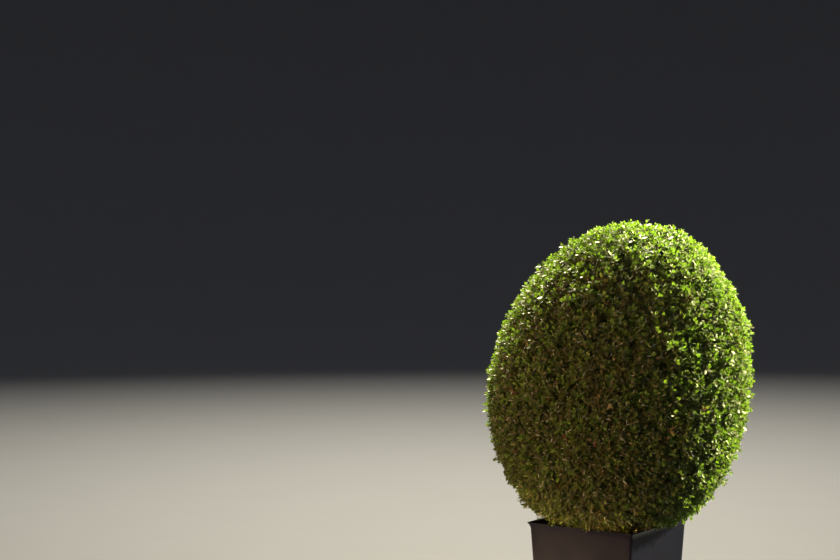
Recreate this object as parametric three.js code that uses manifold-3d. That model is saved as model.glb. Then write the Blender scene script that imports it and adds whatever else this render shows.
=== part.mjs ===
// A box plant clipped into a tall, slightly leaning ball, growing in a square tapered planter.
// Millimetres, +Z up. The origin is the middle of the planter's flat underside.
// The front of the planter faces -Y.

import * as THREE from 'three';
import { mergeVertices } from 'three/addons/utils/BufferGeometryUtils.js';
import Module from 'manifold-3d';

const wasm = await Module();
wasm.setup();

// Planter: a moulded shell with a flared lip
const planter = {
  height: 325,
  rimSide: 400,        // over the lip
  bodyTopSide: 380,    // just under the lip
  footSide: 346,
  lipHeight: 24,       // how far down the flare reaches
  lipSteps: [0, 0.3, 0.55, 0.75, 0.9, 1],
  wall: 6,
  floor: 10,
  cornerRadius: 9,
  cornerPoints: 4,     // points along each rounded corner
  footBevel: 3,
};
const lipFoot = planter.height - planter.lipHeight;

// Compost, a little below the rim
const compost = { top: 270, clearance: 0.3 };

// Short main stem, from the compost into the crown
const stem = {
  flareRadius: 34,     // where it leaves the compost
  radius: 20,          // above the root flare
  tipRadius: 15,
  flareHeight: 55,
  flareSteps: [0, 0.15, 0.35, 0.6, 1],
  tipHeight: 452,      // above the planter's underside
  sides: 18,
  clearance: 0.3,
  sleeve: 3,           // room left round it inside the crown
};

// Clipped outline of the crown, over the leaf tips
const crown = {
  halfWidth: 436,
  waistHeight: 775,    // where it is widest
  rise: 540,           // from the waist to the top
  drop: 490,           // from the waist to the underside
  upperFullness: 2.06, // 2 is an ellipse, more is boxier
  lowerFullness: 2.32,
  leanBearing: 29.3,   // degrees from +X towards +Y
  leanAtFoot: 14,      // how far the crown's underside lies off the planter's middle
  leanBow: 0.000067,   // more lean for each square millimetre above the underside
  ripples: [           // the unevenness that hand shears leave
    { across: [2.1, 1.3, 0.9], phase: 0.4, size: 0.009 },
    { across: [-1.7, 2.6, 2.2], phase: 1.9, size: 0.008 },
    { across: [4.3, -3.1, 3.7], phase: 4.2, size: 0.006 },
    { across: [5.9, 5.2, -4.8], phase: 2.7, size: 0.004 },
  ],
  coreDepth: 44,       // from the clipped outline in to the dense core
  undersideDepth: 14,  // the same at the middle of the underside, where few shoots grow
  coreDetail: 6,
};

// Shoots that stand out of the core, each with crossed pairs of leaves
const shoot = {
  count: 106,
  jitter: 0.07,
  lift: 0.45,          // how much they turn up from the surface's own direction
  spread: 0.25,
  rootDepth: 32,       // length sunk in the core
  clipDepth: [20, 28], // how far below the clipped outline they end
  rootRadius: 3.6,
  tipRadius: 2.4,
  pairs: 2,
  tipGap: 3,           // from the twig's end to its last pair
  pairGap: 14,
};

// One leaf, larger than life as each stands for a spray
const leaf = {
  length: 54,
  width: 30,
  thickness: 2.6,
  widest: 0.48,        // part of the length where it is widest
  rootOffset: 0.8,     // from the twig's middle line
  angle: 57,           // from the twig
  angleSpread: 10,
};

const crownClearance = 1.5;  // between the crown and the planter or the compost
const seed = 114;
const goldenTurn = Math.PI * (3 - Math.sqrt(5));  // between one shoot and the next

const colours = {
  planter: 0x23242b,
  compost: 0x2b1f17,
  bark: 0x6b5a41,
  foliage: 0x55651f,
};

const up = new THREE.Vector3(0, 0, 1);

// Unit vector square to two directions, or +X where they are in line
function sideways(first, second) {
  const across = new THREE.Vector3().crossVectors(first, second);
  if (across.lengthSq() < 1e-4) across.set(1, 0, 0);
  return across.normalize();
}

// The same run of numbers between 0 and 1 each time
function seededRandom(start) {
  let state = start >>> 0;
  return () => {
    state = (state + 0x6d2b79f5) >>> 0;
    let mixed = Math.imul(state ^ (state >>> 15), state | 1);
    mixed ^= mixed + Math.imul(mixed ^ (mixed >>> 7), mixed | 61);
    return ((mixed ^ (mixed >>> 14)) >>> 0) / 4294967296;
  };
}

// Closed geometry to solid, and back
function toSolid(geometry) {
  const bare = geometry.clone();
  bare.deleteAttribute('normal');
  bare.deleteAttribute('uv');
  const merged = mergeVertices(bare);
  return new wasm.Manifold(new wasm.Mesh({
    numProp: 3,
    vertProperties: new Float32Array(merged.attributes.position.array),
    triVerts: new Uint32Array(merged.index.array),
  }));
}

function toGeometry(solid) {
  const { vertProperties, triVerts } = solid.getMesh();
  const geometry = new THREE.BufferGeometry();
  geometry.setAttribute('position', new THREE.BufferAttribute(new Float32Array(vertProperties), 3));
  geometry.setIndex(new THREE.BufferAttribute(new Uint32Array(triVerts), 1));
  geometry.computeVertexNormals();
  return geometry;
}

// The one main body of a fused solid: scraps are dropped and sealed hollows filled
function mainBody(solid) {
  return solid.decompose().reduce((best, body) => (body.volume() > best.volume() ? body : best));
}

// Square with rounded corners, of half side 1, drawn once round
function roundedSquare(radius) {
  const outline = new THREE.Shape();
  const flat = 1 - radius;
  outline.absarc(flat, flat, radius, 0, Math.PI / 2);
  outline.absarc(-flat, flat, radius, Math.PI / 2, Math.PI);
  outline.absarc(-flat, -flat, radius, Math.PI, Math.PI * 1.5);
  outline.absarc(flat, -flat, radius, Math.PI * 1.5, Math.PI * 2);
  outline.closePath();
  return outline;
}

// Rounded square box whose half side follows a profile of [height, halfSide] levels
function squareLoft(levels) {
  const steps = levels.length - 1;
  const geometry = new THREE.ExtrudeGeometry(
    roundedSquare(2 * planter.cornerRadius / planter.rimSide),
    { depth: steps, steps, bevelEnabled: false, curveSegments: planter.cornerPoints },
  );
  const place = geometry.attributes.position;
  for (let i = 0; i < place.count; i += 1) {
    const [height, half] = levels[Math.round(place.getZ(i))];
    place.setXYZ(i, place.getX(i) * half, place.getY(i) * half, height);
  }
  return geometry;
}

// Half side of the planter's straight wall at a height, on the line that runs up to the lip
function wallHalf(height) {
  return THREE.MathUtils.lerp(planter.footSide, planter.bodyTopSide, height / lipFoot) / 2;
}

// The lip's flare, from the wall out to the rim, as [height, halfSide] levels moved inwards
function lipLevels(inset) {
  const flare = (planter.rimSide - planter.bodyTopSide) / 2;
  return planter.lipSteps.map((part) => [
    lipFoot + part * planter.lipHeight,
    wallHalf(lipFoot) + flare * part ** 2 - inset,
  ]);
}

function planterGeometry() {
  const { height, wall, floor, footBevel } = planter;
  const outside = squareLoft([
    [0, wallHalf(0) - footBevel],
    [footBevel, wallHalf(footBevel)],
    ...lipLevels(0),
  ]);
  const mouth = lipLevels(wall);
  const rimHalf = mouth[mouth.length - 1][1];
  const inside = squareLoft([[floor, wallHalf(floor) - wall], ...mouth, [height + wall, rimHalf]]);
  return toGeometry(toSolid(outside).subtract(toSolid(inside)));
}

function compostGeometry() {
  const { top, clearance } = compost;
  const bottom = planter.floor + clearance;
  const inset = planter.wall + clearance;
  return squareLoft([[bottom, wallHalf(bottom) - inset], [top, wallHalf(top) - inset]]);
}

// How far the crown's middle line has leaned at a height
function leanAt(height) {
  const rise = Math.max(0, height - crown.waistHeight + crown.drop);
  return crown.leanAtFoot + crown.leanBow * rise ** 2;
}

function leanVector(distance) {
  const bearing = THREE.MathUtils.degToRad(crown.leanBearing);
  return new THREE.Vector3(Math.cos(bearing) * distance, Math.sin(bearing) * distance, 0);
}

// Stem: a turned profile with a root flare, leaned onto the crown's middle line.
// Swollen and lengthened, it is also the room that the crown leaves round it.
function stemGeometry(swell, top) {
  const { flareRadius, radius, tipRadius, flareHeight, flareSteps, tipHeight, sides } = stem;
  const foot = compost.top + stem.clearance;
  const profile = [new THREE.Vector2(0, foot)];
  for (const part of flareSteps) {
    const flare = (flareRadius - radius) * (1 - part) ** 2;
    profile.push(new THREE.Vector2(radius + flare + swell, foot + part * flareHeight));
  }
  profile.push(new THREE.Vector2(tipRadius + swell, top));
  profile.push(new THREE.Vector2(0, top));
  const geometry = new THREE.LatheGeometry(profile, sides);
  geometry.rotateX(Math.PI / 2);
  const place = geometry.attributes.position;
  for (let i = 0; i < place.count; i += 1) {
    const height = place.getZ(i);
    const part = (height - compost.top) / (tipHeight - compost.top);
    const shift = leanVector(leanAt(tipHeight) * part);
    place.setXYZ(i, place.getX(i) + shift.x, place.getY(i) + shift.y, height);
  }
  return geometry;
}

// Point on the crown's clipped outline in a direction from its middle, or this far inside it
function crownPoint(direction, depth) {
  const across = Math.hypot(direction.x, direction.y);
  const lower = direction.z < 0;
  const fullness = lower ? crown.lowerFullness : crown.upperFullness;
  let reach = (across ** fullness + Math.abs(direction.z) ** fullness) ** (-1 / fullness);
  for (const { across: waves, phase, size } of crown.ripples) {
    const [x, y, z] = waves;
    reach *= 1 + size * Math.sin(x * direction.x + y * direction.y + z * direction.z + phase);
  }
  const width = crown.halfWidth - depth;
  const tall = (lower ? crown.drop : crown.rise) - depth;
  const height = crown.waistHeight + direction.z * tall * reach;
  return leanVector(leanAt(height)).add(
    new THREE.Vector3(direction.x * width * reach, direction.y * width * reach, height),
  );
}

// Outward direction of the clipped outline, from points a small step away on each side
function crownNormal(direction) {
  const step = 0.02;
  const side = sideways(up, direction);
  const rise = new THREE.Vector3().crossVectors(direction, side);
  const near = (axis, sign) => crownPoint(
    direction.clone().addScaledVector(axis, sign * step).normalize(),
    0,
  );
  const alongSide = near(side, 1).sub(near(side, -1));
  const alongRise = near(rise, 1).sub(near(rise, -1));
  return alongSide.cross(alongRise).normalize();
}

function coreSolid() {
  const geometry = new THREE.IcosahedronGeometry(1, crown.coreDetail);
  const place = geometry.attributes.position;
  const direction = new THREE.Vector3();
  for (let i = 0; i < place.count; i += 1) {
    direction.fromBufferAttribute(place, i).normalize();
    const under = Math.max(0, -direction.z) ** 2;
    const depth = THREE.MathUtils.lerp(crown.coreDepth, crown.undersideDepth, under);
    const point = crownPoint(direction, depth);
    place.setXYZ(i, point.x, point.y, point.z);
  }
  return toSolid(geometry);
}

// What the crown keeps clear of under it: a wide block up to the rim, hollowed to the planter's mouth
function seatSolid() {
  const gap = crownClearance;
  const inset = planter.wall + gap;
  const block = squareLoft([[0, planter.rimSide], [planter.height + gap, planter.rimSide]]);
  const mouth = squareLoft([
    [compost.top + gap, wallHalf(compost.top) - inset],
    [lipFoot, wallHalf(lipFoot) - inset],
    [planter.height + 2 * gap, planter.rimSide / 2 - inset],
  ]);
  return toSolid(block).subtract(toSolid(mouth));
}

// A three-sided twig from one point to another
function twigSolid(start, end) {
  const length = start.distanceTo(end);
  const geometry = new THREE.CylinderGeometry(shoot.tipRadius, shoot.rootRadius, length, 3, 1);
  geometry.translate(0, length / 2, 0);
  const turn = new THREE.Quaternion().setFromUnitVectors(
    new THREE.Vector3(0, 1, 0),
    end.clone().sub(start).normalize(),
  );
  geometry.applyQuaternion(turn);
  geometry.translate(start.x, start.y, start.z);
  return toSolid(geometry);
}

// A leaf of eight faces: pointed at both ends, thickest on its middle line
function leafSolid(root, along, across) {
  const geometry = new THREE.OctahedronGeometry(1, 0);
  const thick = new THREE.Vector3().crossVectors(along, across);
  const place = geometry.attributes.position;
  const point = new THREE.Vector3();
  for (let i = 0; i < place.count; i += 1) {
    const end = Math.round(place.getX(i));
    const distance = leaf.length * [0, leaf.widest, 1][end + 1];
    point.copy(root)
      .addScaledVector(along, distance)
      .addScaledVector(across, place.getY(i) * leaf.width / 2)
      .addScaledVector(thick, place.getZ(i) * leaf.thickness / 2);
    place.setXYZ(i, point.x, point.y, point.z);
  }
  return toSolid(geometry);
}

// One shoot as a list of overlapping solids
function shootSolids(direction, random) {
  const normal = crownNormal(direction);
  const wander = new THREE.Vector3(random() - 0.5, random() - 0.5, random() - 0.5);
  const heading = normal.clone()
    .addScaledVector(up, shoot.lift * (1 - Math.abs(normal.z)))
    .addScaledVector(wander, 2 * shoot.spread)
    .normalize();
  const clip = THREE.MathUtils.lerp(...shoot.clipDepth, random());
  const tip = crownPoint(direction, 0).addScaledVector(heading, -clip);
  const length = crown.coreDepth + shoot.rootDepth - clip;
  const solids = [twigSolid(tip.clone().addScaledVector(heading, -length), tip)];

  const across = sideways(heading, up).applyAxisAngle(heading, random() * Math.PI);
  for (let pair = 0; pair < shoot.pairs; pair += 1) {
    const node = tip.clone().addScaledVector(heading, -shoot.tipGap - pair * shoot.pairGap);
    for (const sign of [1, -1]) {
      const tilt = THREE.MathUtils.degToRad(leaf.angle + leaf.angleSpread * (2 * random() - 1));
      const along = heading.clone().multiplyScalar(Math.cos(tilt))
        .addScaledVector(across, sign * Math.sin(tilt));
      const blade = sideways(along, heading);
      const root = node.clone().addScaledVector(along, leaf.rootOffset);
      solids.push(leafSolid(root, along, blade));
    }
    across.applyAxisAngle(heading, Math.PI / 2);
  }
  return solids;
}

// The clipped crown: an uneven core with its shoots fused on, clear of stem, rim and compost
function foliageGeometry() {
  const random = seededRandom(seed);
  const sleeve = stemGeometry(stem.sleeve, stem.tipHeight + stem.clearance);
  const keepOut = seatSolid().add(toSolid(sleeve));
  const solids = [coreSolid()];
  for (let i = 0; i < shoot.count; i += 1) {
    const rise = 1 - (2 * i + 1) / shoot.count;
    const level = Math.sqrt(1 - rise * rise);
    const direction = new THREE.Vector3(
      level * Math.cos(i * goldenTurn) + shoot.jitter * (random() - 0.5),
      level * Math.sin(i * goldenTurn) + shoot.jitter * (random() - 0.5),
      rise + shoot.jitter * (random() - 0.5),
    ).normalize();
    const pieces = shootSolids(direction, random);
    const blocked = pieces.some((piece) => !piece.intersect(keepOut).isEmpty());
    if (!blocked) solids.push(...pieces);
  }
  const fused = wasm.Manifold.union(solids).subtract(keepOut);
  return toGeometry(mainBody(fused));
}

function namedMesh(name, geometry, color, roughness) {
  const mesh = new THREE.Mesh(
    geometry,
    new THREE.MeshStandardMaterial({ color, roughness, metalness: 0 }),
  );
  mesh.name = name;
  return mesh;
}

const group = new THREE.Group();
group.add(
  namedMesh('pot', planterGeometry(), colours.planter, 0.3),
  namedMesh('soil', compostGeometry(), colours.compost, 0.95),
  namedMesh('stem', stemGeometry(0, stem.tipHeight), colours.bark, 0.85),
  namedMesh('foliage', foliageGeometry(), colours.foliage, 0.7),
);

export default group;
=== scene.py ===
# Potted box ball: the looks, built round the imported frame.
# Metres, +Z up. The origin is the middle of the planter's flat underside and its front faces -Y.
from math import ceil, cos, pi, radians, sin, sqrt

import bpy
import numpy as np
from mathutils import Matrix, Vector
from mathutils.kdtree import KDTree


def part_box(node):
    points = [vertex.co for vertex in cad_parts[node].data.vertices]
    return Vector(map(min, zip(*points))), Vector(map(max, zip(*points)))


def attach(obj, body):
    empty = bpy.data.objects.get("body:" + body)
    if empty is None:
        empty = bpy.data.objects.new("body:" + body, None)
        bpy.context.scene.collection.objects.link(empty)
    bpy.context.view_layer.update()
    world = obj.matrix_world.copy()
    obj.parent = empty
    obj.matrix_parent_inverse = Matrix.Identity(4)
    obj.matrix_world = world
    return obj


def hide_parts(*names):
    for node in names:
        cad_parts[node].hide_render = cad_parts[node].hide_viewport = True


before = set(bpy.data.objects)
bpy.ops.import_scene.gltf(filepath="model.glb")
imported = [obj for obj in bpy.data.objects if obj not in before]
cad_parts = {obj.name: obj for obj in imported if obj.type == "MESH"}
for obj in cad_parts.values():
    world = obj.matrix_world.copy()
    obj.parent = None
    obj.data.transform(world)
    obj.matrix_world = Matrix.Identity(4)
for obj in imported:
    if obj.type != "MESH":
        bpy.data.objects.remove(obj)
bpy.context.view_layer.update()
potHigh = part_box("pot")[1]
soilLow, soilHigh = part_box("soil")
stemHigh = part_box("stem")[1]
goldenTurn = pi * (3 - sqrt(5))  # between one shoot and the next on a spiral
print("frame loaded:", ", ".join(sorted(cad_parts)))


# Camera: the photograph's own view, looking slightly down past the left of the plant
camera = {
    "bearing": 29.32,   # degrees round from -Y towards +X
    "distance": 6.332,
    "height": 1.428,
    "turn": 5.70,       # degrees to the left of the planter's middle
    "tilt": 2.74,       # degrees down
    "lens": 81.43,
    "farthest": 200,
}


def around(bearing, distance, height):  # a place round the plant, seen from above
    angle = radians(bearing)
    return Vector((sin(angle) * distance, -cos(angle) * distance, height))


def makeCamera():
    data = bpy.data.cameras.new("camera")
    data.lens = camera["lens"]
    data.clip_end = camera["farthest"]
    eye = bpy.data.objects.new("camera", data)
    eye.location = around(camera["bearing"], camera["distance"], camera["height"])
    eye.rotation_euler = (radians(90 - camera["tilt"]), 0, radians(camera["bearing"] + camera["turn"]))
    bpy.context.collection.objects.link(eye)
    bpy.context.scene.camera = eye


makeCamera()


# Small helpers for meshes
def makeMesh(name, points, faces, materials, picks=None):  # faces all have the same number of corners
    points = np.asarray(points, np.float32)
    faces = np.asarray(faces, np.int32)
    mesh = bpy.data.meshes.new(name)
    mesh.vertices.add(len(points))
    mesh.vertices.foreach_set("co", points.ravel())
    mesh.loops.add(faces.size)
    mesh.loops.foreach_set("vertex_index", faces.ravel())
    mesh.polygons.add(len(faces))
    mesh.polygons.foreach_set("loop_start", np.arange(len(faces), dtype=np.int32) * faces.shape[1])
    mesh.polygons.foreach_set("use_smooth", np.ones(len(faces), bool))
    if picks is not None:
        mesh.polygons.foreach_set("material_index", np.asarray(picks, np.int32))
    for material in materials:
        mesh.materials.append(material)
    mesh.update(calc_edges=True)
    return mesh


def joinRings(rings, count):  # quads between rings of points that follow one another
    i = np.arange(count)
    j = (i + 1) % count
    low = count * np.arange(rings - 1)[:, None]
    high = low + count
    return np.stack([low + i, low + j, high + j, high + i], -1).reshape(-1, 4)


def stackRings(name, rings, material):  # joined in order, with a flat cap at each end
    count = len(rings[0])
    last = (len(rings) - 1) * count
    faces = [list(range(count))[::-1]] + joinRings(len(rings), count).tolist()
    faces.append([last + i for i in range(count)])
    mesh = bpy.data.meshes.new(name)
    mesh.from_pydata(np.concatenate(rings).tolist(), [], faces)
    for polygon in mesh.polygons:
        polygon.use_smooth = len(polygon.vertices) == 4
    mesh.materials.append(material)
    return mesh


def readPoints(mesh):
    points = np.zeros(len(mesh.vertices) * 3)
    mesh.vertices.foreach_get("co", points)
    return points.reshape(-1, 3)


def writePoints(mesh, points):
    mesh.vertices.foreach_set("co", points.ravel())
    mesh.update()


def addPiece(name, mesh, slot, *nodes):
    piece = bpy.data.objects.new(name, mesh)
    bpy.context.collection.objects.link(piece)
    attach(piece, "root")
    if nodes:
        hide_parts(*nodes)


def unit(vectors):
    return vectors / np.maximum(np.linalg.norm(vectors, axis=-1, keepdims=True), 1e-12)


def nearest(points, targets):  # for each point, the number of the closest target
    tree = KDTree(len(targets))
    for i, target in enumerate(targets):
        tree.insert(target, i)
    tree.balance()
    return np.array([tree.find(point)[1] for point in points])


class Waves:  # smooth seeded noise: a sum of plane waves, about -1 to 1
    def __init__(self, seed, count, shortest, longest):
        rng = np.random.default_rng(seed)
        lengths = rng.uniform(shortest, longest, (count, 1))
        self.turns = unit(rng.normal(size=(count, 3))) * 2 * pi / lengths
        self.phases = rng.uniform(0, 2 * pi, count)

    def at(self, points):
        return np.sin(points @ self.turns.T + self.phases).sum(-1) / sqrt(len(self.phases))


# Small helpers for node trees
def place(tree, kind, inputs=None, **settings):  # a node with each input linked to a socket or set
    node = tree.nodes.new(kind)
    for name, value in settings.items():
        setattr(node, name, value)
    for key, value in (inputs or {}).items():
        if isinstance(value, bpy.types.NodeSocket):
            tree.links.new(value, node.inputs[key])
        else:
            node.inputs[key].default_value = value
    return node


def mixColours(tree, share, first, second):
    return place(tree, "ShaderNodeMix", {0: share, 6: first, 7: second}, data_type="RGBA").outputs[2]


def compute(tree, operation, *values):
    return place(tree, "ShaderNodeMath", dict(enumerate(values)), operation=operation).outputs[0]


def remap(tree, value, source, target):  # from one range of values to another
    return place(tree, "ShaderNodeMapRange", {
        "Value": value, "From Min": source[0], "From Max": source[1],
        "To Min": target[0], "To Max": target[1],
    }).outputs["Result"]


def ownPlace(tree):
    return place(tree, "ShaderNodeTexCoord").outputs["Object"]


def noise(tree, where, scale, detail, roughness=0.5):
    return place(tree, "ShaderNodeTexNoise", {
        "Vector": where, "Scale": scale, "Detail": detail, "Roughness": roughness,
    }).outputs["Fac"]


def addBump(tree, shader, height, strength, distance):
    bump = place(tree, "ShaderNodeBump", {"Height": height, "Strength": strength, "Distance": distance})
    tree.links.new(bump.outputs["Normal"], shader.inputs["Normal"])


def newGroup(name, inputs, outputs):
    tree = bpy.data.node_groups.new(name, "ShaderNodeTree")
    for label, kind, value in inputs:
        socket = tree.interface.new_socket(name=label, in_out="INPUT", socket_type="NodeSocket" + kind)
        socket.default_value = value
    for label, kind in outputs:
        tree.interface.new_socket(name=label, in_out="OUTPUT", socket_type="NodeSocket" + kind)
    return tree, tree.nodes.new("NodeGroupInput").outputs, tree.nodes.new("NodeGroupOutput").inputs


def useGroup(tree, group, values):
    return place(tree, "ShaderNodeGroup", values, node_tree=group).outputs


def newMaterial(name):
    material = bpy.data.materials.new(name)
    material.use_nodes = True
    tree = material.node_tree
    return material, tree, tree.nodes["Principled BSDF"]


def paint(red, green, blue):
    return (red, green, blue, 1)


# Effects that several materials share
effects = {
    "mottleSpan": (0.32, 0.68),  # noise values between which the two colours mix
    "dustSpan": (0.42, 0.72),    # noise values between which the dust thickens
    "dustScale": 14,
    "dustAbove": 0.35,           # share of the dust that still lies at the upper height
}


def makeMottle():  # two colours mixed by broad patches and fine grain
    tree, given, out = newGroup(
        "mottle",
        [("Pale", "Color", paint(1, 1, 1)), ("Dark", "Color", paint(0, 0, 0)),
         ("Patch Scale", "Float", 20), ("Grain Scale", "Float", 300), ("Grain Share", "Float", 0.4)],
        [("Color", "Color"), ("Value", "Float")],
    )
    where = ownPlace(tree)
    patches = noise(tree, where, given["Patch Scale"], detail=4, roughness=0.6)
    grain = noise(tree, where, given["Grain Scale"], detail=3, roughness=0.7)
    both = place(tree, "ShaderNodeMix", {0: given["Grain Share"], 2: patches, 3: grain}).outputs[0]
    spread = remap(tree, both, effects["mottleSpan"], (0, 1))
    tree.links.new(mixColours(tree, spread, given["Dark"], given["Pale"]), out["Color"])
    tree.links.new(spread, out["Value"])
    return tree


def makeDust():  # dust that lies thicker in patches and towards the ground
    tree, given, out = newGroup(
        "dust",
        [("Color", "Color", paint(0, 0, 0)), ("Dust", "Color", paint(0.3, 0.27, 0.22)),
         ("Amount", "Float", 0.2), ("Low", "Float", 0.0), ("High", "Float", 0.3)],
        [("Color", "Color"), ("Mask", "Float")],
    )
    where = ownPlace(tree)
    patches = noise(tree, where, effects["dustScale"], detail=5, roughness=0.65)
    height = place(tree, "ShaderNodeSeparateXYZ", {"Vector": where}).outputs["Z"]
    lying = remap(tree, height, (given["Low"], given["High"]), (1.0, effects["dustAbove"]))
    cover = compute(tree, "MULTIPLY", remap(tree, patches, effects["dustSpan"], (0, 1)), lying)
    mask = compute(tree, "MULTIPLY", cover, given["Amount"])
    tree.links.new(mixColours(tree, mask, given["Color"], given["Dust"]), out["Color"])
    tree.links.new(mask, out["Mask"])
    return tree


mottle = makeMottle()
dust = makeDust()


# Planter: a moulded shell with a flared lip, in dark semi-gloss lacquer
planter = {
    "height": potHigh.z,
    "rimHalf": potHigh.x,
    "bodyTopHalf": potHigh.x - 0.010,   # just under the lip
    "footHalf": 0.173,
    "lipHeight": 0.024,
    "wall": 0.006,
    "floor": 0.010,
    "cornerShare": 0.045,   # corner radius as a share of the half side
    "footBevel": 0.003,
    "edgeRound": 0.0016,    # rounding of the rim's two edges
    "roundSteps": 4,
    "cornerPoints": 9,
    "sidePoints": 18,
    "wallSteps": 30,
    "wallSkip": 4,          # the lowest wall steps, which the inside leaves out
    "lipSteps": 12,
    "bow": 0.0007,          # how far the moulded sides stand out of flat
    "uneven": 0.00025,
    "lacquer": paint(0.0045, 0.0048, 0.0115),
    "lacquerWorn": paint(0.008, 0.008, 0.016),
    "patchScale": 9,
    "grainScale": 120,
    "grainShare": 0.25,
    "dust": paint(0.20, 0.155, 0.12),
    "dustAmount": 0.025,
    "dustHeights": (0.0, 0.20),
    "dustRoughness": 0.9,   # added where the dust is full
    "roughness": (0.14, 0.20),
    "specular": 0.06,
    "rippleScale": 26,
    "rippleShare": 6.0,     # of the bump, against the peel's 1
    "peelScale": 420,
    "bumpStrength": 0.35,
    "bumpDepth": 0.00012,
}
planter["lipFoot"] = planter["height"] - planter["lipHeight"]


def squareOutline():  # rounded square of half side 1, once round
    radius = planter["cornerShare"]
    flat = 1 - radius
    outline = []
    for turn in range(4):
        way = pi / 4 + turn * pi / 2
        corner = np.array([flat * cos(way), flat * sin(way)]) * sqrt(2)
        for step in range(planter["cornerPoints"]):
            angle = (turn + step / (planter["cornerPoints"] - 1)) * pi / 2
            outline.append(corner + radius * np.array([cos(angle), sin(angle)]))
        start = outline[-1]
        side = 2 * flat * np.array([cos((turn + 2) * pi / 2), sin((turn + 2) * pi / 2)])
        for step in range(1, planter["sidePoints"]):
            outline.append(start + side * step / planter["sidePoints"])
    return np.array(outline)


def squareLoft(name, profile, material):  # rings of [half side, height], closed at both ends
    outline = squareOutline()
    rings = [np.column_stack([outline * half, np.full(len(outline), height)]) for half, height in profile]
    return stackRings(name, rings, material)


def wallHalf(height):  # half side of the straight wall, on the line that runs up to the lip
    share = height / planter["lipFoot"]
    return planter["footHalf"] + (planter["bodyTopHalf"] - planter["footHalf"]) * share


def lipHalf(share):  # the lip's flare, from the wall out to the rim
    flare = planter["rimHalf"] - planter["bodyTopHalf"]
    return planter["bodyTopHalf"] + flare * share ** 2


def planterProfile():  # up the outside, over the rim and down the inside
    bevel, edge, wall = planter["footBevel"], planter["edgeRound"], planter["wall"]
    top, steps = planter["height"], planter["roundSteps"]
    quarter = [k / steps * pi / 2 for k in range(steps + 1)]
    profile = [(wallHalf(bevel) - bevel + bevel * sin(a), bevel - bevel * cos(a)) for a in quarter]
    heights = np.linspace(bevel, planter["lipFoot"], planter["wallSteps"])[1:]
    profile += [(wallHalf(height), height) for height in heights]
    shares = np.linspace(0, 1 - edge / planter["lipHeight"], planter["lipSteps"])[1:]
    lip = [(lipHalf(share), planter["lipFoot"] + share * planter["lipHeight"]) for share in shares]
    profile += lip
    rimOut = lip[-1][0]
    profile += [(rimOut - edge + edge * cos(a), top - edge + edge * sin(a)) for a in quarter[1:]]
    rimIn = rimOut - wall
    profile += [(rimIn + edge - edge * sin(a), top - edge + edge * cos(a)) for a in quarter]
    profile += [(half - wall, height) for half, height in reversed(lip[:-1])]
    profile += [(wallHalf(height) - wall, height) for height in reversed(heights[planter["wallSkip"]:])]
    profile += [(wallHalf(planter["floor"]) - wall, planter["floor"])]
    return profile


def planterMaterial():
    material, tree, shader = newMaterial("planterLacquer")
    worn = useGroup(tree, mottle, {
        "Pale": planter["lacquerWorn"], "Dark": planter["lacquer"], "Patch Scale": planter["patchScale"],
        "Grain Scale": planter["grainScale"], "Grain Share": planter["grainShare"],
    })
    low, high = planter["dustHeights"]
    dusted = useGroup(tree, dust, {
        "Color": worn["Color"], "Dust": planter["dust"], "Amount": planter["dustAmount"],
        "Low": low, "High": high,
    })
    smudged = remap(tree, worn["Value"], (0, 1), planter["roughness"])
    rough = compute(tree, "MULTIPLY_ADD", dusted["Mask"], planter["dustRoughness"], smudged)
    tree.links.new(dusted["Color"], shader.inputs["Base Color"])
    tree.links.new(rough, shader.inputs["Roughness"])
    shader.inputs["Specular IOR Level"].default_value = planter["specular"]
    where = ownPlace(tree)
    ripple = noise(tree, where, planter["rippleScale"], detail=2)
    peel = noise(tree, where, planter["peelScale"], detail=1)
    height = compute(tree, "MULTIPLY_ADD", ripple, planter["rippleShare"], peel)
    addBump(tree, shader, height, planter["bumpStrength"], planter["bumpDepth"])
    return material


def makePlanter():
    mesh = squareLoft("planterShell", planterProfile(), planterMaterial())
    points = readPoints(mesh)
    half = np.abs(points[:, :2]).max(1)
    middle = 1 - (np.abs(points[:, :2]).min(1) / half) ** 2
    bulge = planter["bow"] * middle * np.sin(pi * np.clip(points[:, 2] / planter["lipFoot"], 0, 1))
    uneven = Waves(seed=11, count=18, shortest=0.12, longest=0.4).at(points) * planter["uneven"] * middle
    points[:, :2] *= (1 + (bulge + uneven) / half)[:, None]
    writePoints(mesh, points)
    addPiece("planterShell", mesh, "planter", "pot")


makePlanter()
print("planter made")


# Compost: a crumbly bed with clods, grit and bark chips
compost = {
    "top": soilHigh.z,
    "bottom": soilLow.z,
    "clearance": 0.0003,
    "rings": 34,
    "shoulder": 0.004,      # how far below the top its sides end
    "smoothDepth": 0.001,   # its top's points lie within this before they are roughened
    "roughDepth": 0.02,     # and within this afterwards
    "unevenness": 0.0035,
    "grain": 0.0012,
    "mostRise": 0.008,
    "crumbs": {"seed": 31, "count": 1100, "size": (0.0012, 0.0045), "shape": (1, 1, 0.8)},
    "chips": {"seed": 32, "count": 90, "size": (0.006, 0.013), "shape": (1, 0.45, 0.22)},
    "lumpiness": (0.7, 1.15),
    "lumpLean": 0.5,
    "margin": 0.014,        # between the loose bits and the wall
    "pale": paint(0.085, 0.056, 0.035),
    "dark": paint(0.020, 0.013, 0.009),
    "patchScale": 45,
    "grainScale": 700,
    "grainShare": 0.55,
    "roughness": (0.75, 0.97),
    "bumpStrength": 0.7,
    "bumpDepth": 0.0012,
}


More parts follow.
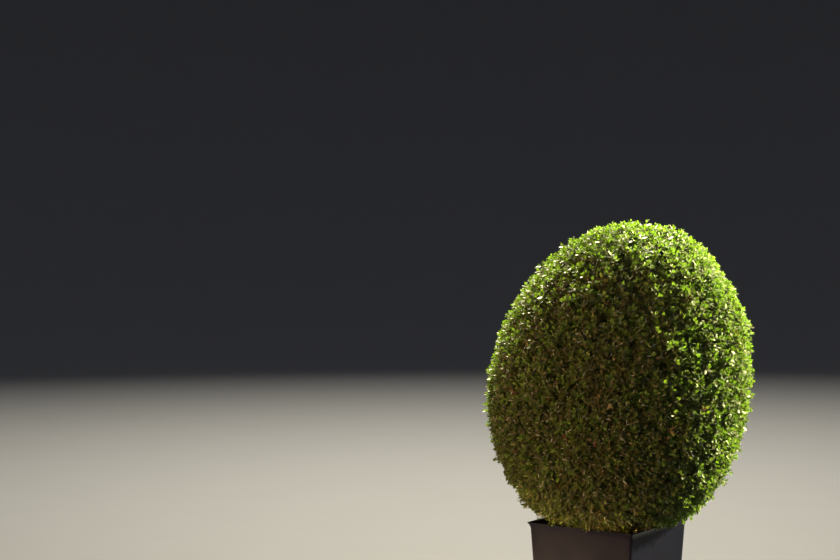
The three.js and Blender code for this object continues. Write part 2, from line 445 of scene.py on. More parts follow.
def compostMaterial():
    material, tree, shader = newMaterial("dampCompost")
    soil = useGroup(tree, mottle, {
        "Pale": compost["pale"], "Dark": compost["dark"], "Patch Scale": compost["patchScale"],
        "Grain Scale": compost["grainScale"], "Grain Share": compost["grainShare"],
    })
    tree.links.new(soil["Color"], shader.inputs["Base Color"])
    tree.links.new(remap(tree, soil["Value"], (0, 1), compost["roughness"]), shader.inputs["Roughness"])
    addBump(tree, shader, soil["Value"], compost["bumpStrength"], compost["bumpDepth"])
    return material


def makeBed(material):
    top, bottom = compost["top"], compost["bottom"]
    inset = planter["wall"] + compost["clearance"]
    edge = wallHalf(top) - inset
    profile = [(wallHalf(bottom) - inset, bottom), (edge, top - compost["shoulder"])]
    profile += [(edge * k / compost["rings"], top) for k in range(compost["rings"], 0, -1)]
    mesh = squareLoft("compostBed", profile, material)
    points = readPoints(mesh)
    onTop = points[:, 2] > top - compost["smoothDepth"]
    shape = Waves(seed=21, count=30, shortest=0.03, longest=0.12).at(points) * compost["unevenness"]
    shape += Waves(seed=22, count=40, shortest=0.006, longest=0.02).at(points) * compost["grain"]
    points[:, 2] += np.where(onTop, np.minimum(shape, compost["mostRise"]) - compost["unevenness"], 0)
    writePoints(mesh, points)
    return mesh, edge


def scatterLumps(kind, spread):  # twenty-sided lumps, each its own shape
    rng = np.random.default_rng(kind["seed"])
    count = kind["count"]
    ratio = (1 + sqrt(5)) / 2
    corners = unit(np.array([
        (-1, ratio, 0), (1, ratio, 0), (-1, -ratio, 0), (1, -ratio, 0), (0, -1, ratio), (0, 1, ratio),
        (0, -1, -ratio), (0, 1, -ratio), (ratio, 0, -1), (ratio, 0, 1), (-ratio, 0, -1), (-ratio, 0, 1),
    ], float))
    many = len(corners)
    gaps = np.linalg.norm(corners[:, None] - corners[None], axis=2)
    near = (gaps > 0) & (gaps < 1.1)  # neighbouring corners are 1.05 apart
    sides = [(i, j, k) for i in range(many) for j in range(i + 1, many) for k in range(j + 1, many)
             if near[i, j] and near[j, k] and near[i, k]]
    faces = []
    for i, j, k in sides:
        outward = np.dot(np.cross(corners[j] - corners[i], corners[k] - corners[i]), corners[i]) > 0
        faces.append((i, j, k) if outward else (i, k, j))
    size = rng.uniform(*kind["size"], (count, 1, 1))
    shape = corners[None] * rng.uniform(*compost["lumpiness"], (count, many, 1)) * size
    shape = shape * np.array(kind["shape"])
    turn = rng.uniform(0, 2 * pi, count)
    lean = rng.uniform(-compost["lumpLean"], compost["lumpLean"], count)
    x = shape[:, :, 0] * np.cos(turn)[:, None] - shape[:, :, 1] * np.sin(turn)[:, None]
    y = shape[:, :, 0] * np.sin(turn)[:, None] + shape[:, :, 1] * np.cos(turn)[:, None]
    z = shape[:, :, 2] + x * np.sin(lean)[:, None]
    middle = rng.uniform(-spread, spread, (count, 2))
    points = np.stack([x + middle[:, :1], y + middle[:, 1:], z], 2)
    allFaces = (np.array(faces)[None] + many * np.arange(count)[:, None, None]).reshape(-1, 3)
    return points, allFaces, middle


def makeLooseBits(bed, edge):  # crumbs and chips, each lifted to the bed's height where it lies
    top = readPoints(bed)
    top = top[top[:, 2] > compost["top"] - compost["roughDepth"]]
    level = top * (1, 1, 0)
    points, faces, offset = [], [], 0
    for kind in (compost["crumbs"], compost["chips"]):
        lumps, lumpFaces, middle = scatterLumps(kind, edge - compost["margin"])
        under = nearest(np.column_stack([middle, np.zeros(len(middle))]), level)
        lumps[:, :, 2] += top[under, 2][:, None]
        points.append(lumps.reshape(-1, 3))
        faces.append(lumpFaces + offset)
        offset += len(points[-1])
    return np.concatenate(points), np.concatenate(faces)


def makeCompost():
    material = compostMaterial()
    bed, edge = makeBed(material)
    addPiece("compostBed", bed, "compost", "soil")
    points, faces = makeLooseBits(bed, edge)
    addPiece("compostCrumbs", makeMesh("compostCrumbs", points, faces, [material]), "compost")


makeCompost()
print("compost made")


# Crown: the clipped outline over the leaf tips, about 5 mm inside the solid's at the waist
crown = {
    "halfWidth": 0.431,
    "waistHeight": 0.775,    # where it is widest
    "rise": 0.540,           # from the waist to the top
    "drop": 0.490,           # from the waist to the underside
    "upperFullness": 2.06,   # 2 is an ellipse, more is boxier
    "lowerFullness": 2.22,
    "leanBearing": 29.3,     # degrees from +X towards +Y
    "leanAtFoot": 0.014,
    "leanBow": 0.067,        # times the square of the height above the underside
    "ripples": [             # the unevenness that hand shears leave: waves, phase, size
        ((2.1, 1.3, 0.9), 0.4, 0.009),
        ((-1.7, 2.6, 2.2), 1.9, 0.008),
        ((4.3, -3.1, 3.7), 4.2, 0.006),
        ((5.9, 5.2, -4.8), 2.7, 0.004),
    ],
}
upward = np.array([0.0, 0.0, 1.0])
leanWay = np.array([cos(radians(crown["leanBearing"])), sin(radians(crown["leanBearing"])), 0])


def leanAt(height):
    rise = np.maximum(0, height - crown["waistHeight"] + crown["drop"])
    return crown["leanAtFoot"] + crown["leanBow"] * rise ** 2


def crownPoints(directions, depth):  # on the clipped outline, or this far inside it
    across = np.hypot(directions[:, 0], directions[:, 1])
    lower = directions[:, 2] < 0
    fullness = np.where(lower, crown["lowerFullness"], crown["upperFullness"])
    reach = (across ** fullness + np.abs(directions[:, 2]) ** fullness) ** (-1 / fullness)
    for waves, phase, size in crown["ripples"]:
        reach = reach * (1 + size * np.sin(directions @ np.array(waves) + phase))
    width = crown["halfWidth"] - depth
    tall = np.where(lower, crown["drop"], crown["rise"]) - depth
    height = crown["waistHeight"] + directions[:, 2] * tall * reach
    lean = leanAt(height)[:, None] * leanWay
    flat = directions[:, :2] * (width * reach)[:, None]
    return np.column_stack([flat, height]) + lean


def crownNormals(directions):
    step = 0.02
    side = unit(np.cross(upward, directions) + 1e-9)
    rise = np.cross(directions, side)

    def near(axis, sign):
        return crownPoints(unit(directions + sign * step * axis), 0)

    return unit(np.cross(near(side, 1) - near(side, -1), near(rise, 1) - near(rise, -1)))


def spiral(count, jitter, rng):  # evenly spread directions, a little disturbed
    rise = 1 - (2 * np.arange(count) + 1) / count
    level = np.sqrt(1 - rise ** 2)
    turn = np.arange(count) * goldenTurn
    even = np.column_stack([level * np.cos(turn), level * np.sin(turn), rise])
    spacing = sqrt(4 * pi / count)
    return unit(even + jitter * spacing * rng.uniform(-0.5, 0.5, (count, 3)))


# Bark: tan-grey on the stem and boughs, straw and green on the young shoots, bleached on dry twigs, which
# are pale enough to paint the glints of leaf edges too
bark = {
    "kinds": {  # pale, dark, patch scale, relief
        "oldBark": (paint(0.33, 0.26, 0.17), paint(0.085, 0.060, 0.038), 60, 0.0010),
        "shootBark": (paint(0.36, 0.29, 0.13), paint(0.10, 0.10, 0.03), 35, 0.0002),
        # bleached dry twigs, made paler still to paint the glints of leaf edges
        "dryBarkAndPaintedGlint": (paint(0.42, 0.43, 0.33), paint(0.22, 0.21, 0.15), 25, 0.0002),
    },
    "grainScale": 420,
    "grainShare": 0.5,
    "algae": paint(0.16, 0.17, 0.10),
    "algaeAmount": 0.35,
    "algaeHeights": (0.25, 0.6),
    "roughness": (0.9, 0.68),   # in the cracks, on the ridges
    "bumpStrength": 0.6,
}


def barkMaterial(name, pale, dark, patchScale, relief):
    material, tree, shader = newMaterial(name)
    rough = useGroup(tree, mottle, {
        "Pale": pale, "Dark": dark, "Patch Scale": patchScale,
        "Grain Scale": bark["grainScale"], "Grain Share": bark["grainShare"],
    })
    low, high = bark["algaeHeights"]
    mossy = useGroup(tree, dust, {
        "Color": rough["Color"], "Dust": bark["algae"], "Amount": bark["algaeAmount"],
        "Low": low, "High": high,
    })
    tree.links.new(mossy["Color"], shader.inputs["Base Color"])
    tree.links.new(remap(tree, rough["Value"], (0, 1), bark["roughness"]), shader.inputs["Roughness"])
    addBump(tree, shader, rough["Value"], bark["bumpStrength"], relief)
    return material


# Stem: one short leaning stem with a root flare and ridged bark
stem = {
    "foot": soilHigh.z - 0.008,  # sunk a little in the crumbly compost
    "flareRadius": 0.034,        # where it leaves the compost
    "radius": 0.020,             # above the root flare
    "tipRadius": 0.015,
    "flareHeight": 0.055,
    "tipHeight": stemHigh.z,
    "sides": 84,
    "rings": 96,
    "roots": 5,
    "rootWander": 1.3,
    "rootSwell": 0.42,           # share of the flare that stands out in ridges over the roots
    "ridges": 15,
    "ridgeWander": 2.2,
    "wanderSqueeze": 0.55,       # less than 1 draws the waves out along the stem
    "ridgeTwist": 3,
    "ridgeDepth": 0.00143,
    "ridgeSharpness": 0.6,       # less than 1 makes narrow cracks and broad ridges
    "crackDepth": 0.0004,
    "crackSqueeze": 0.3,
    "barkInset": 0.0005,
}


def stemMiddle(height):  # the stem's leaning middle line
    share = (height - soilHigh.z) / (stem["tipHeight"] - soilHigh.z)
    return leanWay * float(leanAt(stem["tipHeight"])) * share + upward * height


def stemRadius(height):  # with the part of it that is the root flare
    above = np.maximum(0, height - soilHigh.z)
    upperHeight = stem["tipHeight"] - soilHigh.z - stem["flareHeight"]
    flare = (stem["flareRadius"] - stem["radius"]) * np.maximum(0, 1 - above / stem["flareHeight"]) ** 2
    upper = np.clip((above - stem["flareHeight"]) / upperHeight, 0, 1)
    return stem["radius"] + flare + (stem["tipRadius"] - stem["radius"]) * upper, flare


def makeStem(material):
    heights = np.linspace(stem["foot"], stem["tipHeight"], stem["rings"])
    turns = np.linspace(0, 2 * pi, stem["sides"], endpoint=False)
    low, high = np.meshgrid(turns, heights)

    def barkPlaces(squeeze):  # on a round stem, squeezed in height
        return np.stack([np.cos(low) * stem["radius"], np.sin(low) * stem["radius"], high * squeeze], -1)

    radius, flare = stemRadius(high)
    swell = 0.5 + 0.5 * np.cos(stem["roots"] * low + stem["rootWander"] * np.sin(2 * low))
    wander = Waves(seed=41, count=20, shortest=0.02, longest=0.09).at(barkPlaces(stem["wanderSqueeze"]))
    cracks = Waves(seed=42, count=30, shortest=0.004, longest=0.016).at(barkPlaces(stem["crackSqueeze"]))
    bend = stem["ridgeWander"] * wander + stem["ridgeTwist"] * high
    ridges = np.abs(np.sin(stem["ridges"] / 2 * low + bend)) ** stem["ridgeSharpness"]
    radius = radius - stem["rootSwell"] * flare * (1 - swell) - stem["ridgeDepth"] * (1 - ridges)
    radius = radius + stem["crackDepth"] * cracks - stem["barkInset"]
    middles = np.array([stemMiddle(height) for height in heights])[:, None]
    rings = middles + np.stack([radius * np.cos(low), radius * np.sin(low), np.zeros_like(low)], -1)
    addPiece("barkStem", stackRings("barkStem", rings, material), "bark", "stem")


# Small helpers for limbs
def onCurve(starts, controls, ends, t):  # quadratic curves
    return (1 - t) ** 2 * starts + 2 * t * (1 - t) * controls + t ** 2 * ends


def bendLimbs(starts, controls, ends, rings):  # limbs x rings x 3
    t = np.linspace(0, 1, rings)[None, :, None]
    return onCurve(starts[:, None], controls[:, None], ends[:, None], t)


def leaveLimbs(limbs, ends, along, rng):  # where each new limb leaves its nearest one, and which way
    chosen = nearest(ends, limbs["end"])
    t = rng.uniform(*along, (len(ends), 1))
    start, control, end = (limbs[key][chosen] for key in ("start", "control", "end"))
    return onCurve(start, control, end, t), unit((1 - t) * (control - start) + t * (end - control))


def growTubes(paths, radii, sides, seed):  # paths: limbs x rings x 3, radii: limbs x rings
    limbs, rings = radii.shape
    along = unit(np.gradient(paths, axis=1))
    rng = np.random.default_rng(seed)
    guide = unit(np.cross(along[:, rings // 2], rng.normal(size=(limbs, 3))))[:, None]
    side = unit(guide - (guide * along).sum(-1, keepdims=True) * along)
    other = np.cross(along, side)
    turns = np.arange(sides) * 2 * pi / sides
    spoke = side[:, :, None] * np.cos(turns)[:, None] + other[:, :, None] * np.sin(turns)[:, None]
    points = paths[:, :, None] + radii[:, :, None, None] * spoke
    i = np.arange(sides)
    j = (i + 1) % sides
    faces = []
    for ring in range(rings - 1):
        low, high = ring * sides, (ring + 1) * sides
        faces.append(np.column_stack([low + i, low + j, high + j]))
        faces.append(np.column_stack([low + i, high + j, high + i]))
    fan = np.arange(1, sides - 1)
    last = (rings - 1) * sides
    faces.append(np.column_stack([np.zeros_like(fan), fan + 1, fan]))
    faces.append(np.column_stack([np.full_like(fan, last), last + fan, last + fan + 1]))
    allFaces = np.concatenate(faces)[None] + (np.arange(limbs) * rings * sides)[:, None, None]
    return points.reshape(-1, 3), allFaces.reshape(-1, 3)


# Boughs: each level starts on the nearest limb of the level before, and reaches nearer the outline
boughs = {
    "levels": [  # count, depth of the ends, radius at start and end, sides, rings, start along the parent
        (7, 0.26, 0.0085, 0.0060, 12, 14, (1.0, 1.0)),
        (48, 0.17, 0.0048, 0.0032, 8, 9, (0.55, 1.0)),
        (330, 0.115, 0.0024, 0.0016, 6, 7, (0.5, 1.0)),
        (2200, 0.072, 0.0014, 0.0009, 4, 5, (0.45, 1.0)),
    ],
    "forkDepth": 0.006,   # below the stem's tip
    "leader": {"start": 0.05, "control": 0.02, "end": 0.0},  # below the fork, a limb inside the stem
    "jitter": 0.9,
    "follow": 0.45,       # how far a limb first follows its parent, as a share of its length
    "pull": 0.12,         # and how far its middle is then pulled to its end
    "crook": 0.10,        # sideways wander of its middle, as a share of its length
    "thickness": (0.85, 1.15),
    "seed": 51,
}


def growBoughs():
    rng = np.random.default_rng(boughs["seed"])
    fork = stemMiddle(stem["tipHeight"] - boughs["forkDepth"])
    limbs = {key: fork[None] - upward * below for key, below in boughs["leader"].items()}
    points, faces, offset = [], [], 0
    for level, (count, depth, thick, thin, sides, rings, along) in enumerate(boughs["levels"]):
        directions = spiral(count, boughs["jitter"], rng)
        ends = crownPoints(directions, depth)
        starts, way = leaveLimbs(limbs, ends, along, rng)
        length = np.linalg.norm(ends - starts, axis=1, keepdims=True)
        crook = rng.normal(size=(count, 3)) * boughs["crook"] * length
        controls = starts + way * length * boughs["follow"] + (ends - starts) * boughs["pull"] + crook
        radii = np.linspace(thick, thin, rings)[None] * rng.uniform(*boughs["thickness"], (count, 1))
        paths = bendLimbs(starts, controls, ends, rings)
        tubes, tubeFaces = growTubes(paths, radii, sides, boughs["seed"] + level)
        points.append(tubes)
        faces.append(tubeFaces + offset)
        offset += len(tubes)
        limbs = {"start": starts, "control": controls, "end": ends}
    return np.concatenate(points), np.concatenate(faces), limbs


oldBark, shootBark, dryBarkAndPaintedGlint = (barkMaterial(name, *kind) for name, kind in bark["kinds"].items())
makeStem(oldBark)
boughPoints, boughFaces, twigs = growBoughs()
addPiece("boughs", makeMesh("boughs", boughPoints, boughFaces, [oldBark]), "bark", "foliage")
print("stem and boughs made:", len(boughFaces), "faces")


# Shoots: the outer twigs, each with crossed pairs of leaves up to the clipped tip
shoots = {
    "count": 12000,
    "jitter": 0.95,
    "lift": 0.45,            # how much they turn up from the surface's own direction
    "spread": 0.34,
    "clipDepth": (0.004, 0.028),
    "clumpDepth": 0.0065,    # how far clumps stand in or out
    "droop": 0.012,          # how much lower the shoots hang round the underside
    "droopFrom": 0.25,       # how far the surface faces down where they begin to hang
    "droopOver": 0.5,        # and how much further it does where they hang fully
    "strayShare": 0.04,      # regrowth that stands out of the clipped surface
    "strayLength": (0.0, 0.008),
    "leafyLength": 0.040,
    "rootAlong": (0.5, 1.0),  # where on its twig a shoot starts
    "rootRadius": 0.00085,
    "tipRadius": 0.00055,
    "sides": 3,
    "seed": 61,
}


room = {  # kept clear of twigs and leaves
    "wall": 0.0015,
    "rim": 0.001,
    "compost": 0.003,
    "stem": 0.003,
}


def blocked(points):  # in the planter, the compost or the stem, or nearer than the room round them
    half = np.abs(points[..., :2]).max(-1)
    height = points[..., 2]
    outside, inside = planter["rimHalf"] + room["rim"], planter["wall"] + room["wall"]
    rim = (half > planter["rimHalf"] - inside) & (half < outside)
    wall = (half <= outside) & (half > wallHalf(height) - inside)
    inRim = rim & (height < planter["height"] + room["rim"])
    inWall = wall & (height < planter["lipFoot"])
    inSoil = (half <= planter["rimHalf"]) & (height < compost["top"] + room["compost"])
    middle = stemMiddle(0)[None] + (stemMiddle(1) - stemMiddle(0))[None] * height[..., None]
    away = np.linalg.norm((points - middle)[..., :2], axis=-1)
    inStem = (away < stemRadius(height)[0] + room["stem"]) & (height < stem["tipHeight"])
    return inRim | inWall | inSoil | inStem


def growShoots():
    rng = np.random.default_rng(shoots["seed"])
    count = shoots["count"]
    directions = spiral(count, shoots["jitter"], rng)
    surface = crownPoints(directions, 0)
    normals = crownNormals(directions)
    lift = shoots["lift"] * (1 - np.abs(normals[:, 2:]))
    wander = rng.uniform(-1, 1, (count, 3)) * shoots["spread"]
    headings = unit(normals + upward * lift + wander)
    clumps = Waves(seed=62, count=26, shortest=0.035, longest=0.11).at(surface)
    under = np.clip(-normals[:, 2] - shoots["droopFrom"], 0, shoots["droopOver"]) / shoots["droopOver"]
    clip = rng.uniform(*shoots["clipDepth"], count) - shoots["clumpDepth"] * clumps
    stray = rng.random(count) < shoots["strayShare"]
    strayClip = -rng.uniform(*shoots["strayLength"], count)
    clip = np.where(stray, strayClip, np.maximum(clip, shoots["clipDepth"][0])) - shoots["droop"] * under
    tips = surface - headings * clip[:, None]
    leafy = tips - headings * shoots["leafyLength"]
    starts = leaveLimbs(twigs, leafy, shoots["rootAlong"], rng)[0]
    keep = ~(blocked(tips) | blocked(leafy) | blocked(starts))
    return {
        "start": starts[keep], "leafy": leafy[keep], "tip": tips[keep], "heading": headings[keep],
        "surface": surface[keep],
    }


def makeShoots(grown):
    paths = np.stack([grown["start"], grown["leafy"], grown["tip"]], 1)
    radii = np.tile([shoots["rootRadius"], shoots["rootRadius"], shoots["tipRadius"]], (len(paths), 1))
    points, faces = growTubes(paths, radii, shoots["sides"], shoots["seed"])
    addPiece("shoots", makeMesh("shoots", points, faces, [shootBark]), "bark", "foliage")
    print("shoots made:", len(paths))


# Dry twigs: bare side twigs, crooked, bleached and pale enough to paint the glints of leaf edges as well,
# that show between the leaves
dryTwigs = {
    "count": 2600,
    "length": (0.016, 0.030),
    "radius": 0.0009,
    "depth": (-0.003, 0.006),
    "reach": 0.8,            # sideways, as a share of the length
    "root": 0.6,             # further in than the end, as a share of the length
    "arch": (-0.1, 0.35),
    "taper": 0.6,
    "thickness": (0.8, 1.2),
    "rings": 5,
    "sides": 4,
    "seed": 62,
    "tubeSeed": 63,
}


def makeDryTwigs(grown):  # from low on a shoot, out across its neighbours
    rng = np.random.default_rng(dryTwigs["seed"])
    chosen = rng.choice(len(grown["tip"]), dryTwigs["count"], replace=False)
    tip, heading = grown["tip"][chosen], grown["heading"][chosen]
    sideways = unit(np.cross(heading, rng.normal(size=heading.shape)))
    length = rng.uniform(*dryTwigs["length"], (len(chosen), 1))
    depth = rng.uniform(*dryTwigs["depth"], (len(chosen), 1))
    ends = tip - heading * depth + sideways * length * dryTwigs["reach"]
    starts = tip - heading * (depth + length * dryTwigs["root"])
    controls = (starts + ends) / 2 + heading * length * rng.uniform(*dryTwigs["arch"], (len(chosen), 1))
    free = ~(blocked(ends) | blocked(starts))
    paths = bendLimbs(starts[free], controls[free], ends[free], dryTwigs["rings"])
    taper = np.linspace(1.0, dryTwigs["taper"], dryTwigs["rings"])[None]
    radii = taper * dryTwigs["radius"] * rng.uniform(*dryTwigs["thickness"], (len(paths), 1))
    points, faces = growTubes(paths, radii, dryTwigs["sides"], dryTwigs["tubeSeed"])
    addPiece("dryTwigs", makeMesh("dryTwigs", points, faces, [dryBarkAndPaintedGlint]), "bark", "foliage")
    print("dry twigs made:", len(paths))


# Leaves: small leathery ovals, arched along the rib, paler below
leaves = {
    "pairs": [  # distance from the tip, length, tilt from the twig and its spread in degrees, cupping
        (0.0010, (0.009, 0.013), 26, 9, 0.10),
        (0.0060, (0.014, 0.019), 44, 12, 0.03),
        (0.0130, (0.017, 0.022), 58, 14, -0.08),
        (0.0210, (0.017, 0.022), 68, 14, -0.10),
        (0.0300, (0.016, 0.021), 74, 15, -0.10),
    ],
    "spacing": (0.85, 1.15),
    "stalk": 0.0008,
    "twist": 0.12,
    "widthShare": (0.50, 0.60),
    "arch": (0.02, 0.16),     # how far the tip bends back, as a share of the length
    "roll": 22,               # degrees either way about the rib
    "curledShare": 0.09,      # clipped leaves that have dried, curled up and narrow, in a straw tint pale enough to paint glints too
    "curledPairs": 3,         # only the outer pairs have them
    "curledWidth": 0.36,
    "curledArch": 0.25,
    "outline": [              # along and across: base, two at the left, tip, two at the right, rib
        (0.00, 0.00), (0.24, 0.43), (0.70, 0.45), (1.00, 0.00), (0.70, -0.45), (0.24, -0.43), (0.50, 0.00),
    ],
    "faces": [(0, 6, 1), (6, 2, 1), (6, 3, 2), (0, 5, 6), (6, 5, 4), (6, 4, 3)],
    "mostFaces": 190000,      # in one joined piece
    "seed": 71,
    "tints": {                # colour, share of the shoots
        "deepGreen": (paint(0.040, 0.043, 0.015), 0.24),
        "oliveGreen": (paint(0.068, 0.060, 0.020), 0.33),
        "boxGreen": (paint(0.066, 0.090, 0.018), 0.28),
        "freshGreen": (paint(0.088, 0.148, 0.022), 0.10),
        "limeGreen": (paint(0.150, 0.250, 0.030), 0.03),
        "bronze": (paint(0.088, 0.056, 0.022), 0.020),
        "spentRed": (paint(0.130, 0.048, 0.026), 0.004),
        "strawAndPaintedGlint": (paint(0.34, 0.38, 0.28), 0.0),  # the curled leaves: dried straw, made paler still to paint the glints on curled leaf edges
    },
    "greens": 5,              # the first tints, from the oldest leaves to the freshest
    "patchiness": 0.07,
    "sunniness": 0.10,        # fresher towards the top
    "youngShare": 0.5,        # of the second pair, one green fresher than the shoot's
    "oldPairs": 3,            # pairs from here on may be one green older
    "oldShare": 0.6,
    "driftScale": 75,         # changes from leaf to leaf
    "fineScale": 900,         # changes within a leaf
    "noiseSpan": (0.3, 0.7),
    "spread": 0.30,           # of brightness
    "hue": (0.488, 0.512),
    "roughness": (0.42, 0.56),
    "specular": 0.5,
    "specularTint": paint(1.0, 0.97, 0.58),
    "under": paint(0.26, 0.28, 0.15),
    "underShare": 0.45,
    "glow": paint(0.31, 0.60, 0.01),  # light that comes through a leaf, half mixed with its tint
    "glowShare": 0.31,
    "bumpStrength": 0.15,
    "bumpDepth": 0.0001,
}


def makeLeafDetail():  # a tint with small changes from leaf to leaf
    tree, given, out = newGroup(
        "leafDetail",
        [("Tint", "Color", paint(0.1, 0.15, 0.02)), ("Spread", "Float", 0.35)],
        [("Color", "Color"), ("Roughness", "Float"), ("Height", "Float")],
    )
    where = ownPlace(tree)
    span = leaves["noiseSpan"]
    drift = noise(tree, where, leaves["driftScale"], detail=2)
    fine = noise(tree, where, leaves["fineScale"], detail=2)
    low = compute(tree, "SUBTRACT", 1.0, given["Spread"])
    high = compute(tree, "ADD", 1.0, given["Spread"])
    value = remap(tree, drift, span, (low, high))
    hue = remap(tree, fine, span, leaves["hue"])
    colour = place(tree, "ShaderNodeHueSaturation", {"Hue": hue, "Value": value, "Color": given["Tint"]})
    tree.links.new(colour.outputs["Color"], out["Color"])
    tree.links.new(remap(tree, drift, span, leaves["roughness"]), out["Roughness"])
    tree.links.new(fine, out["Height"])
    return tree


def leafMaterial(name, tint, detail):
    material, tree, shader = newMaterial(name)
    made = useGroup(tree, detail, {"Tint": tint, "Spread": leaves["spread"]})
    back = place(tree, "ShaderNodeNewGeometry").outputs["Backfacing"]
    underside = mixColours(tree, leaves["underShare"], made["Color"], leaves["under"])
    tree.links.new(mixColours(tree, back, made["Color"], underside), shader.inputs["Base Color"])
    tree.links.new(made["Roughness"], shader.inputs["Roughness"])
    shader.inputs["Specular IOR Level"].default_value = leaves["specular"]
    shader.inputs["Specular Tint"].default_value = leaves["specularTint"]
    addBump(tree, shader, made["Height"], leaves["bumpStrength"], leaves["bumpDepth"])
    through = paint(*(0.5 * (own + lit) for own, lit in zip(tint[:3], leaves["glow"][:3])))
    glow = place(tree, "ShaderNodeBsdfTranslucent", {"Color": through})
    both = place(tree, "ShaderNodeMixShader", {
        0: leaves["glowShare"], 1: shader.outputs[0], 2: glow.outputs[0],
    })
    tree.links.new(both.outputs[0], tree.nodes["Material Output"].inputs["Surface"])
    return material


def growLeaves(grown, rng):  # opposite pairs, each turned a quarter from the next
    count = len(grown["tip"])
    heading = grown["heading"]
    across = unit(np.cross(heading, rng.normal(size=(count, 3))))
    other = np.cross(heading, across)
    parts = []
    for pair, (distance, lengths, tilt, spread, cup) in enumerate(leaves["pairs"]):
        plane = across if pair % 2 == 0 else other
        node = grown["tip"] - heading * (distance * rng.uniform(*leaves["spacing"], (count, 1)))
        for sign in (1, -1):
            angle = np.radians(tilt + spread * rng.uniform(-1, 1, (count, 1)))
            twist = rng.normal(size=(count, 3)) * leaves["twist"]
            along = unit(heading * np.cos(angle) + sign * plane * np.sin(angle) + twist)
            face = unit(heading - (heading * along).sum(1, keepdims=True) * along)
            roll = np.radians(leaves["roll"] * rng.uniform(-1, 1, (count, 1)))
            face = face * np.cos(roll) + np.cross(along, face) * np.sin(roll)
            parts.append({
                "root": node + along * leaves["stalk"], "along": along, "face": face,
                "size": rng.uniform(*lengths, count), "cup": np.full(count, cup),
                "shoot": np.arange(count), "pair": np.full(count, pair),
            })
    made = {key: np.concatenate([part[key] for part in parts]) for key in parts[0]}
    curls = rng.random(len(made["pair"])) < leaves["curledShare"]
    made["curled"] = (made["pair"] < leaves["curledPairs"]) & curls
    return made


def shapeLeaves(made, rng):  # leaves x outline points x 3
    count = len(made["root"])
    outline = np.array(leaves["outline"])
    u, v = outline[:, 0], outline[:, 1]
    length = made["size"][:, None]
    curled = made["curled"][:, None]
    width = length * rng.uniform(*leaves["widthShare"], (count, 1))
    width = width * np.where(curled, leaves["curledWidth"], 1)
    arch = rng.uniform(*leaves["arch"], (count, 1)) + np.where(curled, leaves["curledArch"], 0)
    side = np.cross(made["face"], made["along"])
    rise = made["cup"][:, None] * 2 * np.abs(v) * width - arch * length * u ** 2
    return (
        made["root"][:, None]
        + made["along"][:, None] * (length * u)[..., None]
        + side[:, None] * (width * v)[..., None]
        + made["face"][:, None] * rise[..., None]
    )


def dealTints(grown, made, rng):  # a tint for each shoot, fresher at its tip, with fresh patches
    tints = leaves["tints"]
    names = list(tints)
    shares = np.cumsum([tints[name][1] for name in names[:leaves["greens"]]])
    drift = Waves(seed=72, count=24, shortest=0.10, longest=0.45).at(grown["surface"])
    sunny = (grown["surface"][:, 2] - crown["waistHeight"]) / crown["rise"]
    pick = rng.random(len(drift)) + leaves["patchiness"] * drift + leaves["sunniness"] * sunny
    shootTint = np.searchsorted(shares, np.clip(pick, 0, 0.999) * shares[-1])
    odd = rng.random(len(drift))[made["shoot"]]
    tint = shootTint[made["shoot"]]
    young = (made["pair"] == 0) | ((made["pair"] == 1) & (rng.random(len(tint)) < leaves["youngShare"]))
    old = (made["pair"] >= leaves["oldPairs"]) & (rng.random(len(tint)) < leaves["oldShare"])
    tint = np.clip(tint + young - old, 0, leaves["greens"] - 1)
    bronzed = (odd > 1 - tints["bronze"][1]) & (made["pair"] < leaves["oldPairs"])
    tint = np.where(odd < tints["spentRed"][1], names.index("spentRed"), tint)
    tint = np.where(bronzed, names.index("bronze"), tint)
    # curled leaves take the straw tint, which is dried leaf and partly painted glint
    return np.where(made["curled"], names.index("strawAndPaintedGlint"), tint)


def makeLeaves(grown):  # joined into pieces from the lowest shoots up
    rng = np.random.default_rng(leaves["seed"])
    made = growLeaves(grown, rng)
    shapes = shapeLeaves(made, rng)
    picks = dealTints(grown, made, rng)
    keep = ~blocked(shapes).any(1)
    order = np.argsort(grown["tip"][made["shoot"], 2], kind="stable")
    order = order[keep[order]]
    detail = makeLeafDetail()
    materials = [leafMaterial(name, tint, detail) for name, (tint, _) in leaves["tints"].items()]
    corners, faces = len(leaves["outline"]), np.array(leaves["faces"])
    pieces = ceil(len(order) * len(faces) / leaves["mostFaces"])
    for number, chosen in enumerate(np.array_split(order, pieces), 1):
        points = shapes[chosen].reshape(-1, 3)
        allFaces = (faces[None] + corners * np.arange(len(chosen))[:, None, None]).reshape(-1, 3)
        name = f"leaves{number}"
        mesh = makeMesh(name, points, allFaces, materials, np.repeat(picks[chosen], len(faces)))
        addPiece(name, mesh, "leaves", "foliage")
    print("leaves made:", len(order), "in", pieces, "pieces")


grownShoots = growShoots()
makeLeaves(grownShoots)
makeShoots(grownShoots)
makeDryTwigs(grownShoots)


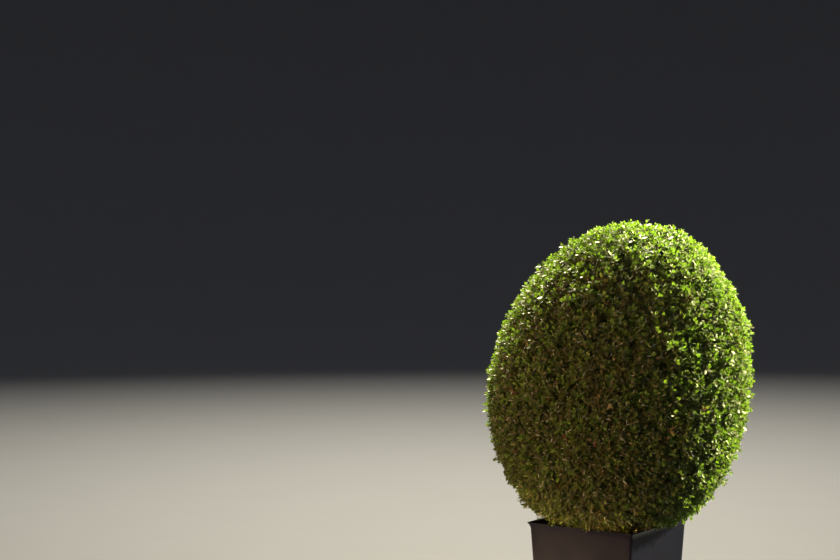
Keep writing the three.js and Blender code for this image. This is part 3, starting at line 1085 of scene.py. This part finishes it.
# Stage: a pale floor that sweeps up all round, a soft sky and five lamps, the strongest behind
stage = {
    "firstRadius": 0.01,   # of the floor's innermost ring, under the planter
    "flatRadius": 10.0,
    "sweepRadius": 6.0,
    "sides": 96,
    "sweepSteps": 16,
    "floor": paint(0.060, 0.062, 0.075),
    "patchShade": 0.95,
    "patchScale": 3,
    "grainScale": 60,
    "grainShare": 0.4,
    "roughness": 0.85,
    "world": paint(1.0, 1.0, 1.0),
    "worldStrength": 0.30,
    "lights": {  # bearing, elevation, distance, height aimed at, size, spread, power, colour
        "key": (147, 23, 9.0, 0.92, 0.6, 15, 61, (1.0, 0.95, 0.55)),
        "backLeft": (218, 50, 9.0, 0.72, 1.4, 120, 2000, (1.0, 0.92, 0.68)),
        "frontFill": (-18, 7, 8.0, 0.42, 1.6, 36, 24, (1.0, 0.52, 0.31)),
        "potFill": (-18, 3, 8.0, 0.07, 0.4, 5, 4.1, (1.0, 0.69, 0.22)),
        "sideFill": (90, 45, 8.0, 0.72, 3.0, 180, 25, (0.46, 0.62, 1.0)),
    },
}


def floorMaterial():
    material, tree, shader = newMaterial("paleFloor")
    spots = useGroup(tree, mottle, {
        "Pale": stage["floor"], "Dark": paint(*(stage["patchShade"] * v for v in stage["floor"][:3])),
        "Patch Scale": stage["patchScale"], "Grain Scale": stage["grainScale"],
        "Grain Share": stage["grainShare"],
    })
    tree.links.new(spots["Color"], shader.inputs["Base Color"])
    shader.inputs["Roughness"].default_value = stage["roughness"]
    return material


def makeFloor():
    count = stage["sides"]
    turns = np.linspace(0, 2 * pi, count, endpoint=False)
    bends = np.linspace(0, pi / 2, stage["sweepSteps"])
    radii = [stage["firstRadius"]] + list(stage["flatRadius"] + stage["sweepRadius"] * np.sin(bends))
    heights = [0.0] + list(stage["sweepRadius"] * (1 - np.cos(bends)))
    rings = [
        np.column_stack([radius * np.cos(turns), radius * np.sin(turns), np.full_like(turns, height)])
        for radius, height in zip(radii, heights)
    ]
    mesh = makeMesh("floor", np.concatenate(rings), joinRings(len(rings), count), [floorMaterial()])
    floor = bpy.data.objects.new("floor", mesh)
    bpy.context.collection.objects.link(floor)


def makeLight():
    world = bpy.data.worlds.new("softWorld")
    world.use_nodes = True
    sky = world.node_tree.nodes["Background"]
    sky.inputs["Color"].default_value = stage["world"]
    sky.inputs["Strength"].default_value = stage["worldStrength"]
    bpy.context.scene.world = world
    bpy.context.scene.view_settings.view_transform = "Standard"
    for name, light in stage["lights"].items():
        bearing, elevation, distance, aim, size, spread, power, colour = light
        data = bpy.data.lights.new(name, "AREA")
        data.shape = "DISK"
        data.size = size
        data.spread = radians(spread)
        data.energy = power
        data.color = colour
        lamp = bpy.data.objects.new(name, data)
        level, rise = distance * cos(radians(elevation)), distance * sin(radians(elevation))
        lamp.location = around(bearing, level, aim + rise)
        lamp.rotation_euler = (Vector((0, 0, aim)) - lamp.location).to_track_quat("-Z", "Y").to_euler()
        bpy.context.collection.objects.link(lamp)


makeFloor()
makeLight()
print("stage made")
